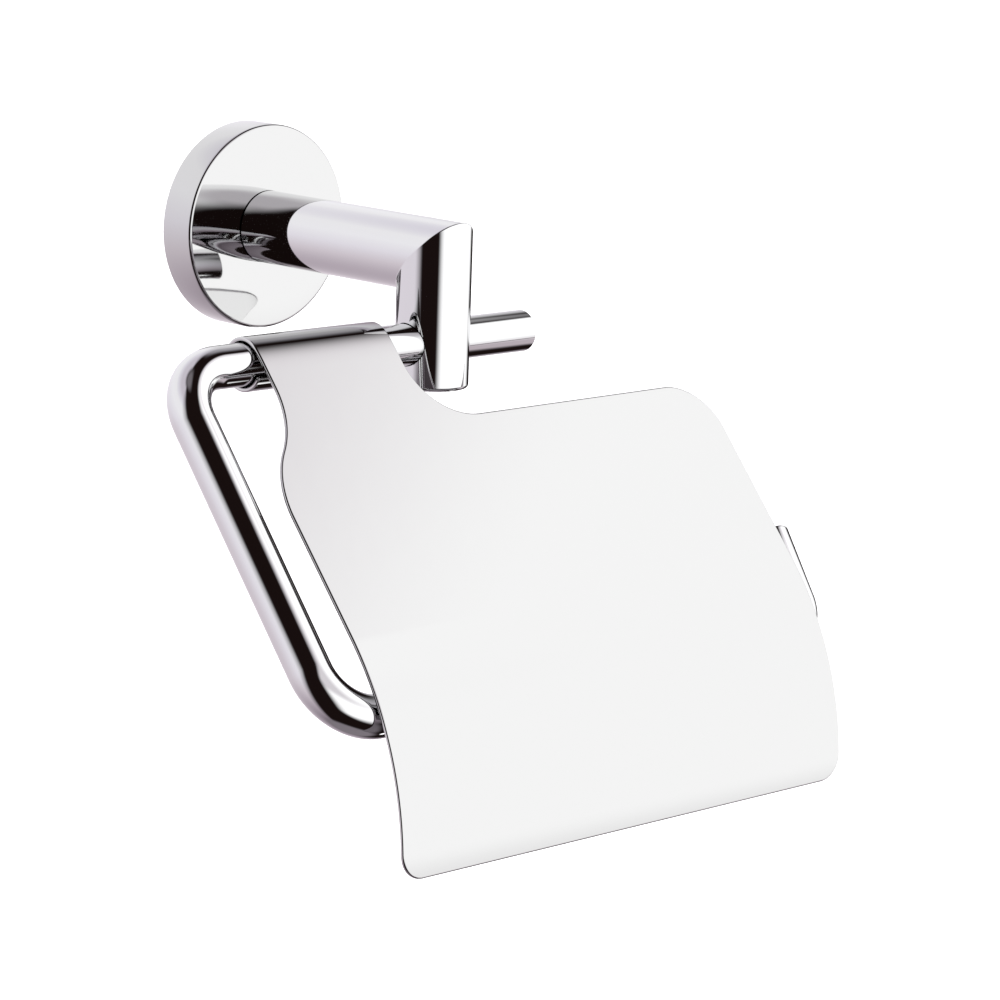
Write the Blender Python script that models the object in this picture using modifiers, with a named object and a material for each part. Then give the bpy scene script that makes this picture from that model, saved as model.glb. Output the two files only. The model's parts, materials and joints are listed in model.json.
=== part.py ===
"""Wall-mounted toilet paper holder with a lift-up cover.

The wall is the plane y = 0, the holder stands out towards -Y, +X is to the right of someone
facing it and +Z is up. The origin is the centre of the wall plate's back face.
"""

import math

import bmesh
import bpy
from mathutils import Matrix, Vector

MM = 0.001
CLEARANCE = 0.3 * MM

# Flange and wall plate
FLANGE_RADIUS = 24 * MM
FLANGE_DEPTH = 9.5 * MM
FLANGE_WALL = 2 * MM
FLANGE_EDGE_CHAMFER = 0.4 * MM
PLATE_RADIUS = 19.5 * MM
PLATE_FLOOR = 2 * MM
PLATE_HEIGHT = 7 * MM
PLATE_RIM = 3 * MM
PLATE_GROOVE_DEPTH = 1.2 * MM
PLATE_HOLE_RADIUS = 2.3 * MM
PLATE_HOLE_OFFSET = 11 * MM

# Arm and post, two mitred tubes of one diameter
TUBE_RADIUS = 8.5 * MM
TUBE_WALL = 1.5 * MM
ARM_LENGTH = 66.3 * MM
POST_DROP = 29.7 * MM
POST_EDGE_RADIUS = 0.8 * MM
ARM_PLUG_LENGTH = 12 * MM

# Roll rod: top bar through the post, bent down into a frame that leans forward
ROD_RADIUS = 4.8 * MM
ROD_DROP = 19.4 * MM
ROD_LEAN = math.radians(39.3)
STUB_END_X = 28.6 * MM
LEFT_BAR_X = -76.8 * MM
FRAME_HEIGHT = 85.6 * MM
BEND_RADIUS = 12.5 * MM
TIP_X = 71.3 * MM
TIP_BEND_RADIUS = 8 * MM
TIP_SPLAY = math.radians(8)
TIP_LENGTH = 18 * MM

# Cover: bent sheet, rolled round the top bar
SHEET = 1 * MM
COVER_WIDTH = 138 * MM
COVER_SLOPE = math.radians(49.6)
COVER_FLAT = 71 * MM
COVER_BEND_RADIUS = 72.8 * MM
COVER_LENGTH = 124.1 * MM
KNUCKLE_WRAP = math.radians(292)
TAB_LEFT_X = -57 * MM
TAB_RIGHT_X = -18 * MM
SHOULDER_DROP = 23.1 * MM
SHOULDER_FILLET = 14.7 * MM
TOP_CORNER_RADIUS = 12.5 * MM
BOTTOM_CORNER_RADIUS = 6 * MM
FLARE_START = 10 * MM
FLARE_ANGLE = math.radians(42)

# Fasteners
GRUB_RADIUS = 2 * MM
ROD_GRUB_RADIUS = 2.5 * MM
GRUB_POINT = 1 * MM
BOLT_RADIUS = 2.7 * MM
BOLT_HEAD_RADIUS = 5.2 * MM
BOLT_HEAD_HEIGHT = 3.1 * MM
BOLT_LENGTH = 14 * MM
WASHER_RADIUS = 5.8 * MM
WASHER_THICKNESS = 0.7 * MM
SOCKET_DEPTH = 1.5 * MM
CAP_THICKNESS = 1 * MM

# Worked out from the above
HINGE = Vector((0, -ARM_LENGTH, -ROD_DROP))
FORWARD = Matrix.Rotation(math.radians(90), 4, "X")
KNUCKLE_RADIUS = ROD_RADIUS + CLEARANCE + SHEET / 2
TUBE_BORE = TUBE_RADIUS - TUBE_WALL
FACE_INSIDE = FLANGE_DEPTH - FLANGE_WALL
ACROSS_POST = Vector((2 * TUBE_RADIUS, 0, 0))
CAP_TOP = -POST_DROP + CAP_THICKNESS
CUT_PAST = 1 * MM
ROUND_STEPS = 48
ARC_STEPS = 8
HEXAGON = 6


def clear_scene():
    for obj in list(bpy.data.objects):
        bpy.data.objects.remove(obj, do_unlink=True)


def new_collection(name, helper=False):
    collection = bpy.data.collections.new(name)
    collection.hide_render = helper
    bpy.context.scene.collection.children.link(collection)
    return collection


def new_material(name, colour, roughness, metallic):
    material = bpy.data.materials.new(name)
    material.use_nodes = True
    shader = material.node_tree.nodes["Principled BSDF"]
    shader.inputs["Base Color"].default_value = (*colour, 1)
    shader.inputs["Roughness"].default_value = roughness
    shader.inputs["Metallic"].default_value = metallic
    return material


def add_object(name, mesh, material):
    obj = bpy.data.objects.new(name, mesh)
    PARTS.objects.link(obj)
    mesh.materials.append(material)
    return obj


def add_cutter(name, mesh):
    obj = bpy.data.objects.new(name, mesh)
    CUTTERS.objects.link(obj)
    obj.hide_render = True
    obj.display_type = "WIRE"
    return obj


def evaluated_mesh(obj):
    bpy.context.view_layer.update()
    return bpy.data.meshes.new_from_object(obj.evaluated_get(bpy.context.evaluated_depsgraph_get()))


def smooth_round(mesh):
    mesh.shade_smooth()
    mesh.set_sharp_from_angle(angle=math.radians(30))


def turned(name, profile, material, place=FORWARD):
    """Spins a profile of (radius, height) points, outer side first and top to bottom, about Z.
    A point on the axis closes the end there; the other profiles are closed loops."""
    mesh = bpy.data.meshes.new(name)
    loop = profile[0][0] > 0
    edges = [(i, i + 1) for i in range(len(profile) - 1)]
    if loop:
        edges.append((len(profile) - 1, 0))
    mesh.from_pydata([(r, 0, h) for r, h in profile], edges, [])
    obj = add_object(name, mesh, material)
    obj.matrix_world = place
    screw = obj.modifiers.new("Turn", "SCREW")
    screw.steps = ROUND_STEPS
    screw.render_steps = ROUND_STEPS
    screw.use_merge_vertices = True
    screw.merge_threshold = 0.01 * MM
    obj.data = evaluated_mesh(obj)
    obj.modifiers.clear()
    smooth_round(obj.data)
    return obj


def cylinder_mesh(name, radius, start, end, segments=ROUND_STEPS):
    """A closed cylinder of the given radius from one point to another."""
    axis = end - start
    turn = axis.to_track_quat("Z", "Y").to_matrix().to_4x4()
    bm = bmesh.new()
    bmesh.ops.create_cone(
        bm,
        cap_ends=True,
        segments=segments,
        radius1=radius,
        radius2=radius,
        depth=axis.length,
        matrix=Matrix.Translation((start + end) / 2) @ turn,
    )
    mesh = bpy.data.meshes.new(name)
    bm.to_mesh(mesh)
    bm.free()
    smooth_round(mesh)
    return mesh


def cut(obj, cutter):
    boolean = obj.modifiers.new("Cut " + cutter.name, "BOOLEAN")
    boolean.operation = "DIFFERENCE"
    boolean.solver = "EXACT"
    boolean.object = cutter


def drill(obj, radius, start, end, segments=ROUND_STEPS):
    """Cuts a round hole, or with six segments a hexagon socket."""
    name = f"{obj.name}_hole_{len(obj.modifiers)}"
    cut(obj, add_cutter(name, cylinder_mesh(name, radius, start, end, segments)))


def arc(centre, radius, first, last, steps=ARC_STEPS):
    """Points of a flat arc about a centre, from one angle to another, both ends included."""
    angles = [first + (last - first) * i / steps for i in range(steps + 1)]
    return [(centre[0] + radius * math.cos(a), centre[1] + radius * math.sin(a)) for a in angles]


# ---- wall side -------------------------------------------------------------------------------


def make_wall_plate(material):
    """Dished steel disc screwed to the wall. A groove round its rim takes the grub screw."""
    outer = PLATE_RADIUS
    inner = PLATE_RADIUS - PLATE_RIM
    groove = PLATE_RADIUS - PLATE_GROOVE_DEPTH
    middle = FLANGE_DEPTH / 2
    profile = [
        (0, PLATE_FLOOR),
        (inner, PLATE_FLOOR),
        (inner, PLATE_HEIGHT),
        (outer, PLATE_HEIGHT),
        (outer, middle + PLATE_GROOVE_DEPTH),
        (groove, middle),
        (outer, middle - PLATE_GROOVE_DEPTH),
        (outer, 0),
        (0, 0),
    ]
    plate = turned("wall_plate", profile, material)
    for side in (-1, 1):
        centre = Vector((side * PLATE_HOLE_OFFSET, 0, 0))
        through = Vector((0, 2 * PLATE_FLOOR, 0))
        drill(plate, PLATE_HOLE_RADIUS, centre + through, centre - through)


def make_flange_cup(material):
    """Deep-drawn round cup that hides the wall plate. The bolt goes through its face."""
    edge = FLANGE_EDGE_CHAMFER
    bolt_hole = BOLT_RADIUS + CLEARANCE
    profile = [
        (bolt_hole, FLANGE_DEPTH),
        (FLANGE_RADIUS - edge, FLANGE_DEPTH),
        (FLANGE_RADIUS, FLANGE_DEPTH - edge),
        (FLANGE_RADIUS, 0),
        (FLANGE_RADIUS - FLANGE_WALL, 0),
        (FLANGE_RADIUS - FLANGE_WALL, FACE_INSIDE),
        (bolt_hole, FACE_INSIDE),
    ]
    cup = turned("flange_cup", profile, material)
    middle = Vector((0, -FLANGE_DEPTH / 2, 0))
    outside = middle - Vector((0, 0, FLANGE_RADIUS + FLANGE_WALL))
    inside = middle - Vector((0, 0, FLANGE_RADIUS - 2 * FLANGE_WALL))
    drill(cup, GRUB_RADIUS + CLEARANCE, outside, inside)


def make_grub_screw(name, radius, tip, length, material):
    """Headless screw that points up from below, with a cone point and a hexagon socket."""
    profile = [
        (0, 0),
        (radius - GRUB_POINT, 0),
        (radius, -GRUB_POINT),
        (radius, -length),
        (0, -length),
    ]
    screw = turned(name, profile, material, Matrix.Translation(tip))
    socket_top = tip - Vector((0, 0, length - SOCKET_DEPTH))
    below = tip - Vector((0, 0, length + CUT_PAST))
    drill(screw, radius / 2, socket_top, below, HEXAGON)


def make_flange_screw(material):
    """Cap screw that pulls the flange cup against the end of the arm, from inside the cup."""
    under_head = FACE_INSIDE - WASHER_THICKNESS - 2 * CLEARANCE
    head_end = under_head - BOLT_HEAD_HEIGHT
    profile = [
        (0, under_head + BOLT_LENGTH),
        (BOLT_RADIUS, under_head + BOLT_LENGTH),
        (BOLT_RADIUS, under_head),
        (BOLT_HEAD_RADIUS, under_head),
        (BOLT_HEAD_RADIUS, head_end),
        (0, head_end),
    ]
    screw = turned("flange_screw", profile, material)
    socket_end = Vector((0, -head_end - SOCKET_DEPTH, 0))
    behind = Vector((0, CUT_PAST - head_end, 0))
    drill(screw, BOLT_RADIUS, socket_end, behind, HEXAGON)


def make_flange_washer(material):
    low = FACE_INSIDE - WASHER_THICKNESS - CLEARANCE
    high = FACE_INSIDE - CLEARANCE
    bore = BOLT_RADIUS + CLEARANCE
    profile = [(bore, high), (WASHER_RADIUS, high), (WASHER_RADIUS, low), (bore, low)]
    turned("flange_washer", profile, material)


# ---- arm and post ----------------------------------------------------------------------------


def tube(name, start, end, material):
    """A tube between two points; the bore runs out of both ends."""
    obj = add_object(name, cylinder_mesh(name, TUBE_RADIUS, start, end), material)
    over = (end - start).normalized() * CUT_PAST
    drill(obj, TUBE_BORE, start - over, end + over)
    return obj


def mitre_cutter(name, side):
    """Half space beyond the 45 degree mitre plane; side is 1 above and behind it, -1 below."""
    size = 4 * ARM_LENGTH
    bm = bmesh.new()
    bmesh.ops.create_cube(bm, size=size)
    mesh = bpy.data.meshes.new(name)
    bm.to_mesh(mesh)
    bm.free()
    obj = add_cutter(name, mesh)
    normal = Vector((0, 1, 1)).normalized() * side
    obj.location = Vector((0, -ARM_LENGTH, 0)) + normal * (size - CLEARANCE) / 2
    obj.rotation_euler = (math.radians(45), 0, 0)
    return obj


def make_arm_tube(material):
    start = Vector((0, -FLANGE_DEPTH - CLEARANCE, 0))
    end = Vector((0, -ARM_LENGTH - 2 * TUBE_RADIUS, 0))
    arm = tube("arm_tube", start, end, material)
    cut(arm, mitre_cutter("arm_mitre", -1))


def make_post_tube(material):
    """The bottom edge is rounded, and a cross bore takes the rod."""
    start = Vector((0, -ARM_LENGTH, -POST_DROP))
    end = Vector((0, -ARM_LENGTH, 2 * TUBE_RADIUS))
    post = tube("post_tube", start, end, material)
    rim = [v.index for v in post.data.vertices if v.co.z < start.z + CLEARANCE]
    weights = post.data.attributes.new("bevel_weight_edge", "FLOAT", "EDGE")
    for edge in post.data.edges:
        weights.data[edge.index].value = float(all(v in rim for v in edge.vertices))
    bevel = post.modifiers.new("Rounded rim", "BEVEL")
    bevel.limit_method = "WEIGHT"
    bevel.width = POST_EDGE_RADIUS
    bevel.segments = 3
    post.modifiers.move(post.modifiers.find(bevel.name), 0)
    cut(post, mitre_cutter("post_mitre", 1))
    drill(post, ROD_RADIUS + CLEARANCE, HINGE - ACROSS_POST, HINGE + ACROSS_POST)


def make_arm_plug(material):
    """Threaded brass insert brazed into the wall end of the arm."""
    radius = TUBE_BORE - CLEARANCE
    bore = BOLT_RADIUS + CLEARANCE
    low = FLANGE_DEPTH + 2 * CLEARANCE
    high = low + ARM_PLUG_LENGTH
    turned("arm_plug", [(bore, high), (radius, high), (radius, low), (bore, low)], material)


def make_post_core(material):
    """Block inside the post that grips the rod; its grub screw comes in from below."""
    radius = TUBE_BORE - CLEARANCE
    start = Vector((0, -ARM_LENGTH, CAP_TOP + CLEARANCE))
    end = Vector((0, -ARM_LENGTH, -TUBE_RADIUS - CLEARANCE))
    core = add_object("post_core", cylinder_mesh("post_core", radius, start, end), material)
    drill(core, ROD_RADIUS + CLEARANCE, HINGE - ACROSS_POST, HINGE + ACROSS_POST)
    drill(core, ROD_GRUB_RADIUS + CLEARANCE, HINGE, start - Vector((0, 0, CUT_PAST)))


def make_post_end_cap(material):
    """Flush disc that closes the bottom of the post."""
    bottom = Vector((0, -ARM_LENGTH, -POST_DROP))
    top = Vector((0, -ARM_LENGTH, CAP_TOP))
    mesh = cylinder_mesh("post_end_cap", TUBE_BORE - CLEARANCE, bottom, top)
    add_object("post_end_cap", mesh, material)


# ---- roll rod --------------------------------------------------------------------------------


def rod_route():
    """Centre line as (x, drop) in the leaning plane of the frame, from the stub to the tip."""
    left_centre = LEFT_BAR_X + BEND_RADIUS
    tip_centre = (TIP_X - TIP_BEND_RADIUS, FRAME_HEIGHT - TIP_BEND_RADIUS)
    route = [(STUB_END_X, 0)]
    route += arc((left_centre, BEND_RADIUS), BEND_RADIUS, math.radians(-90), math.radians(-180))
    low_centre = (left_centre, FRAME_HEIGHT - BEND_RADIUS)
    route += arc(low_centre, BEND_RADIUS, math.radians(180), math.radians(90))
    bend = arc(tip_centre, TIP_BEND_RADIUS, math.radians(90), TIP_SPLAY)
    x, drop = bend[-1]
    end = (x + TIP_LENGTH * math.sin(TIP_SPLAY), drop - TIP_LENGTH * math.cos(TIP_SPLAY))
    return route + bend + [end]


def make_roll_rod(material):
    curve = bpy.data.curves.new("roll_rod", "CURVE")
    curve.dimensions = "3D"
    curve.bevel_depth = ROD_RADIUS
    curve.bevel_resolution = 8
    curve.use_fill_caps = True
    route = rod_route()
    spline = curve.splines.new("POLY")
    spline.points.add(len(route) - 1)
    for point, (x, drop) in zip(spline.points, route):
        point.co = (x, -drop * math.sin(ROD_LEAN), -drop * math.cos(ROD_LEAN), 1)
    rod = bpy.data.objects.new("roll_rod", curve)
    rod.location = HINGE
    curve.materials.append(material)
    PARTS.objects.link(rod)


# ---- cover -----------------------------------------------------------------------------------


def cover_profile():
    """Middle of the sheet as (y, z) about the hinge axis, from the end of the curl round the
    bar and over its top, straight down the slope, then bending towards the vertical."""
    crest = math.pi / 2 + COVER_SLOPE
    curl = arc((0, 0), KNUCKLE_RADIUS, crest - KNUCKLE_WRAP, crest, 3 * ARC_STEPS)
    forward = Vector((-math.cos(COVER_SLOPE), -math.sin(COVER_SLOPE)))
    bend_start = Vector(curl[-1]) + forward * COVER_FLAT
    centre = bend_start + Vector((math.sin(COVER_SLOPE), -math.cos(COVER_SLOPE))) * COVER_BEND_RADIUS
    turn = (COVER_LENGTH - COVER_FLAT) / COVER_BEND_RADIUS
    return curl + arc(centre, COVER_BEND_RADIUS, crest, crest + turn, ARC_STEPS + 2)


def outline_cutter(name, outline, place, half_depth):
    """A flat outline thickened into a cutter and placed across the sheet."""
    curve = bpy.data.curves.new(name, "CURVE")
    curve.dimensions = "2D"
    curve.fill_mode = "BOTH"
    curve.extrude = half_depth
    spline = curve.splines.new("POLY")
    spline.use_cyclic_u = True
    spline.points.add(len(outline) - 1)
    for point, (x, y) in zip(spline.points, outline):
        point.co = (x, y, 0, 1)
    guide = bpy.data.objects.new(name, curve)
    bpy.context.scene.collection.objects.link(guide)
    mesh = evaluated_mesh(guide)
    bpy.data.objects.remove(guide)
    bm = bmesh.new()
    bm.from_mesh(mesh)
    bmesh.ops.remove_doubles(bm, verts=bm.verts, dist=0.001 * MM)
    bmesh.ops.recalc_face_normals(bm, faces=bm.faces)
    bm.to_mesh(mesh)
    bm.free()
    cutter = add_cutter(name, mesh)
    cutter.matrix_world = place
    return cutter


def right_outline():
    """What is cut away right of the tab and above the shoulder, as (x, -distance down)."""
    edge = COVER_WIDTH / 2
    over = 2 * KNUCKLE_RADIUS
    fillet_centre = (TAB_RIGHT_X + SHOULDER_FILLET, -SHOULDER_DROP + SHOULDER_FILLET)
    corner_centre = (edge - TOP_CORNER_RADIUS, -SHOULDER_DROP - TOP_CORNER_RADIUS)
    outline = [(TAB_RIGHT_X, over)]
    outline += arc(fillet_centre, SHOULDER_FILLET, math.pi, 1.5 * math.pi)
    outline += arc(corner_centre, TOP_CORNER_RADIUS, math.pi / 2, 0)
    return outline + [(edge + CUT_PAST, corner_centre[1]), (edge + CUT_PAST, over)]


def left_outline():
    """What is cut away left of the tab: an S of two equal arcs runs out to the full width."""
    edge = -COVER_WIDTH / 2
    radius = (TAB_LEFT_X - edge) / 2 / (1 - math.cos(FLARE_ANGLE))
    run = 2 * radius * math.sin(FLARE_ANGLE)
    over = 2 * KNUCKLE_RADIUS
    upper = arc((TAB_LEFT_X - radius, -FLARE_START), radius, 0, -FLARE_ANGLE)
    lower = arc((edge + radius, -FLARE_START - run), radius, math.pi - FLARE_ANGLE, math.pi)
    outside = edge - CUT_PAST
    return [(TAB_LEFT_X, over)] + upper + lower + [(outside, -FLARE_START - run), (outside, over)]


def bottom_corner_outline(side):
    """The sliver outside one rounded bottom corner, as (x, height above the bottom edge)."""
    edge = side * COVER_WIDTH / 2
    centre = (edge - side * BOTTOM_CORNER_RADIUS, BOTTOM_CORNER_RADIUS)
    last = 0 if side > 0 else -math.pi
    outside = edge + side * CUT_PAST
    outline = [(centre[0], -CUT_PAST)] + arc(centre, BOTTOM_CORNER_RADIUS, -math.pi / 2, last)
    return outline + [(outside, BOTTOM_CORNER_RADIUS), (outside, -CUT_PAST)]


def make_cover(material):
    """Sheet-metal flap; the tab at its top is rolled into the knuckle that turns on the bar."""
    profile = cover_profile()
    half = COVER_WIDTH / 2
    bm = bmesh.new()
    line = [bm.verts.new((-half, y, z)) for y, z in profile]
    edges = [bm.edges.new(pair) for pair in zip(line, line[1:])]
    swept = bmesh.ops.extrude_edge_only(bm, edges=edges)["geom"]
    moved = [v for v in swept if isinstance(v, bmesh.types.BMVert)]
    bmesh.ops.translate(bm, verts=moved, vec=(COVER_WIDTH, 0, 0))
    mesh = bpy.data.meshes.new("cover")
    bm.to_mesh(mesh)
    bm.free()
    mesh.shade_smooth()
    cover = add_object("cover", mesh, material)
    cover.location = HINGE
    solid = cover.modifiers.new("Sheet", "SOLIDIFY")
    solid.thickness = SHEET
    solid.offset = 0
    solid.use_even_offset = True

    # x along the hinge, y up the slope of the flat, z out of the sheet
    across = Matrix.LocRotScale(HINGE, Matrix.Rotation(COVER_SLOPE, 3, "X"), None)
    deep = 3 * KNUCKLE_RADIUS
    cut(cover, outline_cutter("right_of_tab", right_outline(), across, deep))
    cut(cover, outline_cutter("left_of_tab", left_outline(), across, deep))

    # the bottom edge hangs nearly vertical, so its corners are cut straight back
    end_y, end_z = profile[-1]
    upright = Matrix.Translation(HINGE + Vector((0, end_y, end_z))) @ FORWARD
    for name, side in (("left_corner", -1), ("right_corner", 1)):
        cut(cover, outline_cutter(name, bottom_corner_outline(side), upright, BOTTOM_CORNER_RADIUS))


def main():
    chrome = new_material("polished_chrome", (0.78, 0.77, 0.8), 0.05, 1)
    steel = new_material("zinc_plated_steel", (0.55, 0.55, 0.53), 0.35, 1)
    stainless = new_material("stainless_fastener", (0.6, 0.6, 0.6), 0.25, 1)
    brass = new_material("raw_brass", (0.72, 0.5, 0.22), 0.35, 1)
    plastic = new_material("grey_plastic", (0.3, 0.3, 0.31), 0.5, 0)

    make_wall_plate(steel)
    make_flange_cup(chrome)
    grub_gap = PLATE_RADIUS + CLEARANCE
    grub_tip = Vector((0, -FLANGE_DEPTH / 2, -grub_gap))
    make_grub_screw("flange_grub_screw", GRUB_RADIUS, grub_tip, FLANGE_RADIUS - grub_gap, stainless)
    make_flange_screw(stainless)
    make_flange_washer(stainless)

    make_arm_tube(chrome)
    make_arm_plug(brass)
    make_post_tube(chrome)
    make_post_core(brass)
    rod_grub_tip = HINGE - Vector((0, 0, ROD_RADIUS + CLEARANCE))
    rod_grub_length = rod_grub_tip.z - CAP_TOP - CLEARANCE
    make_grub_screw("rod_grub_screw", ROD_GRUB_RADIUS, rod_grub_tip, rod_grub_length, stainless)
    make_post_end_cap(plastic)

    make_roll_rod(chrome)
    make_cover(chrome)


clear_scene()
PARTS = new_collection("toilet_paper_holder")
CUTTERS = new_collection("cutters", helper=True)
main()
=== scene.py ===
import json
import math

import bmesh
import bpy
from mathutils import Matrix, Vector


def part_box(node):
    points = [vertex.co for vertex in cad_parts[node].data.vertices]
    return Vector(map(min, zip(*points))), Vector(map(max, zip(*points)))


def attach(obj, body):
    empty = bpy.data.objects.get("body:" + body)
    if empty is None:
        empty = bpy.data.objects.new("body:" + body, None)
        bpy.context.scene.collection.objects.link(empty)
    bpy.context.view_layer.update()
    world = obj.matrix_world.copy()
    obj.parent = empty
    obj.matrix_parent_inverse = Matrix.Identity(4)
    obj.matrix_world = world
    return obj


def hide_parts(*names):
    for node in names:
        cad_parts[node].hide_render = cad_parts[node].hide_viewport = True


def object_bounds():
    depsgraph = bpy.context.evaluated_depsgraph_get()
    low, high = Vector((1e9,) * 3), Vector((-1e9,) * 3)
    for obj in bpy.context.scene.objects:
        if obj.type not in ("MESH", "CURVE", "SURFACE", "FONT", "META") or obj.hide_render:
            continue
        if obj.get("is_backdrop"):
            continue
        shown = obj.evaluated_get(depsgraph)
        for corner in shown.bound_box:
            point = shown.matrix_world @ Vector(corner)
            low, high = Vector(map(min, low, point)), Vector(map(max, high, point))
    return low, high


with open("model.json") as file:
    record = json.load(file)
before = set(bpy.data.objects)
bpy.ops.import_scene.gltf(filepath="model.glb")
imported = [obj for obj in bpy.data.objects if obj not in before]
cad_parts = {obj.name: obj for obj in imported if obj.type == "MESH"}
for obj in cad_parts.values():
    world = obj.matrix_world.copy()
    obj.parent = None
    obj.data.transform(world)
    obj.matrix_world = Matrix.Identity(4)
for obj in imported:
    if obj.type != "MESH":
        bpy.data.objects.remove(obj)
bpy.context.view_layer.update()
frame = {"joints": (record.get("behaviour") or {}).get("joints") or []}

# The wall is the plane y = 0, the holder stands out towards -Y, +X is right and +Z is up.
# Pieces follow the order in which a fitter puts the holder together, from the wall outwards.


# ---- Wall plate ------------------------------------------------------------------------------
# A dished disc turned from mild steel and zinc plated, held by two countersunk wall screws.
# The groove round its rim takes the point of the grub screw that locks the flange cup.
MM = 0.001
PLATE_LOW, PLATE_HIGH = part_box("wall_plate")
PLATE_RADIUS = PLATE_HIGH.x
PLATE_HEIGHT = -PLATE_LOW.y
PLATE_FLOOR = 2 * MM
PLATE_RIM = 3 * MM
GROOVE_DEPTH = 1.2 * MM
WALL_SCREW_OFFSET = 11 * MM
WALL_SCREW_HOLE = 2.3 * MM
COUNTERSINK = 4.1 * MM
BROKEN_EDGE = 0.2 * MM
TURNED_EDGE = 0.4 * MM
TURN_STEPS = 192
HOLE_STEPS = 64
WELD = 0.001 * MM


def linear(hex_colour):
    """An sRGB hex value as the linear RGBA that a shader takes."""
    channels = [int(hex_colour[i:i + 2], 16) / 255 for i in (1, 3, 5)]
    curve = [c / 12.92 if c <= 0.04045 else ((c + 0.055) / 1.055) ** 2.4 for c in channels]
    return (*curve, 1)


def add(tree, kind, inputs=None, **settings):
    """Adds a node. Its inputs are given by socket name or number, as values, as sockets to link or
    as nodes whose first output is linked."""
    made = tree.nodes.new(kind)
    for name, value in settings.items():
        setattr(made, name, value)
    for key, value in (inputs or {}).items():
        if isinstance(value, bpy.types.Node):
            value = value.outputs[0]
        if isinstance(value, bpy.types.NodeSocket):
            tree.links.new(value, made.inputs[key])
        else:
            made.inputs[key].default_value = value
    return made


def new_finish(name):
    """An empty material with its Principled shader linked up; returns it, its tree and the shader."""
    material = bpy.data.materials.new(name)
    material.use_nodes = True
    tree = material.node_tree
    tree.nodes.clear()
    shader = add(tree, "ShaderNodeBsdfPrincipled")
    add(tree, "ShaderNodeOutputMaterial", {"Surface": shader.outputs[0]})
    return material, tree, shader


def rounded(corners, steps=6):
    """The closed line through corners of (x, y, radius), with an arc of that radius at each."""
    line = []
    for i, (x, y, radius) in enumerate(corners):
        corner = Vector((x, y))
        if radius == 0:
            line.append(corner)
            continue
        back = (Vector(corners[i - 1][:2]) - corner).normalized()
        onward = (Vector(corners[(i + 1) % len(corners)][:2]) - corner).normalized()
        half = back.angle(onward) / 2
        centre = corner + (back + onward).normalized() * radius / math.sin(half)
        first = corner + back * radius / math.tan(half) - centre
        last = corner + onward * radius / math.tan(half) - centre
        sweep = first.angle(last)
        for step in range(steps + 1):
            t = step / steps
            spoke = first * math.sin((1 - t) * sweep) + last * math.sin(t * sweep)
            line.append(centre + spoke / math.sin(sweep))
    return [p for i, p in enumerate(line) if (p - line[i - 1]).length > WELD]


def turned(profile, steps=TURN_STEPS):
    """Rings of a profile of (radius, distance from the wall) points, turned about the arm's axis."""
    rings = []
    for radius, out in profile:
        count = steps if radius > 0 else 1
        angles = [2 * math.pi * i / count for i in range(count)]
        rings.append([(radius * math.cos(a), -out, radius * math.sin(a)) for a in angles])
    return rings


def shade(mesh, sharp=30):
    """Smooth shading, with the edges that turn by more than so many degrees left sharp."""
    mesh.shade_smooth()
    mesh.set_sharp_from_angle(angle=math.radians(sharp))


def skin(name, rings, finish, closed=False):
    """A closed mesh over a stack of rings of points. A ring of one point is a pole."""
    bm = bmesh.new()
    rows = [[bm.verts.new(p) for p in ring] for ring in rings]
    pairs = list(zip(rows, rows[1:])) + ([(rows[-1], rows[0])] if closed else [])
    for near, far in pairs:
        count = max(len(near), len(far))
        for i in range(count if count > 1 else 0):
            j = (i + 1) % count
            corners = [near[i % len(near)], near[j % len(near)], far[j % len(far)], far[i % len(far)]]
            bm.faces.new(dict.fromkeys(corners))
    bmesh.ops.recalc_face_normals(bm, faces=bm.faces)
    mesh = bpy.data.meshes.new(name)
    bm.to_mesh(mesh)
    bm.free()
    mesh.materials.append(finish)
    shade(mesh)
    piece = bpy.data.objects.new(name, mesh)
    bpy.context.scene.collection.objects.link(piece)
    return piece


def settle(piece):
    """Turns a piece's modifiers into plain mesh."""
    bpy.context.view_layer.update()
    evaluated = piece.evaluated_get(bpy.context.evaluated_depsgraph_get())
    piece.data = bpy.data.meshes.new_from_object(evaluated)
    piece.modifiers.clear()


def cut_out(piece, rings, place=None):
    """Cuts the closed shape over these rings, put in its place, out of a piece."""
    cutter = skin("cutter", rings, piece.data.materials[0])
    cutter.data.transform(place or Matrix.Identity(4))
    boolean = piece.modifiers.new("Cut", "BOOLEAN")
    boolean.solver = "EXACT"
    boolean.object = cutter
    settle(piece)
    bpy.data.objects.remove(cutter)
    bm = bmesh.new()
    bm.from_mesh(piece.data)
    bmesh.ops.remove_doubles(bm, verts=bm.verts, dist=WELD)
    bmesh.ops.dissolve_degenerate(bm, edges=bm.edges, dist=WELD)
    bm.to_mesh(piece.data)
    bm.free()
    shade(piece.data)


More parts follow.
